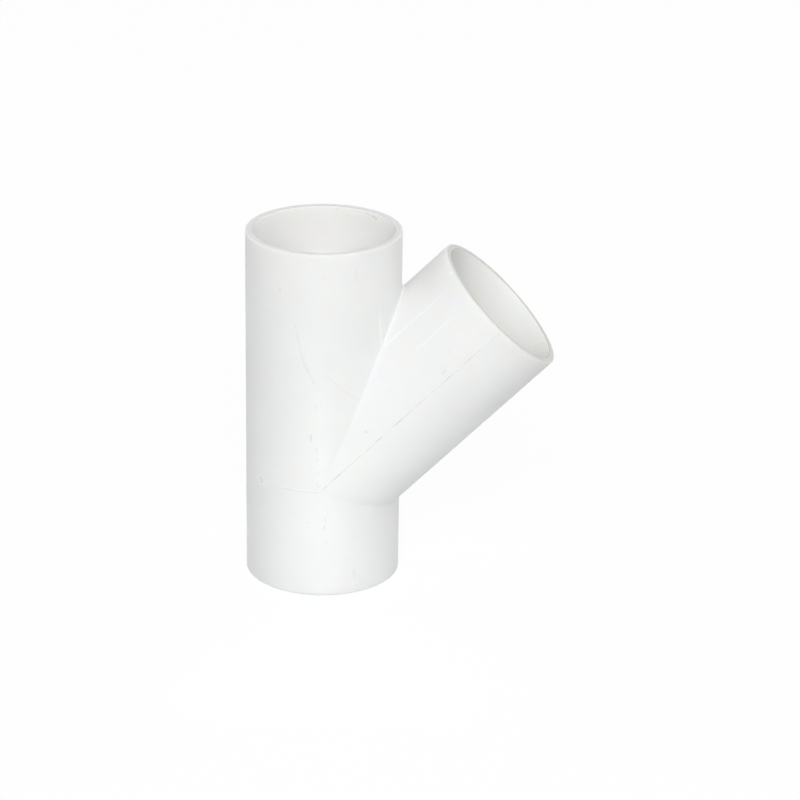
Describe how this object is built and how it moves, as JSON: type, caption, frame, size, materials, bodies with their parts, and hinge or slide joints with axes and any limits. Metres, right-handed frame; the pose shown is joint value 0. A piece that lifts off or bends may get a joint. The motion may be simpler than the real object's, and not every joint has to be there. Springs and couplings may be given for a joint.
{
  "type": "lateral wye fitting",
  "caption": "One-piece white plastic lateral wye: a straight run with an equal branch at 45 degrees, open sockets and inner stop shoulders for thin-wall tube.",
  "frame": {"origin": "centre of the lower mouth, in the plane of its rim", "axes": "+Z along the run towards the upper mouth, +X towards the side that the branch leans to, +Y across the branch"},
  "size_m": [0.1116, 0.0564, 0.1315],
  "materials": {
    "white_pvc": "injection-moulded rigid PVC, satin gloss, faint flow marks"
  },
  "bodies": {
    "root": {"wye_body": "white_pvc"}
  },
  "joints": []
}
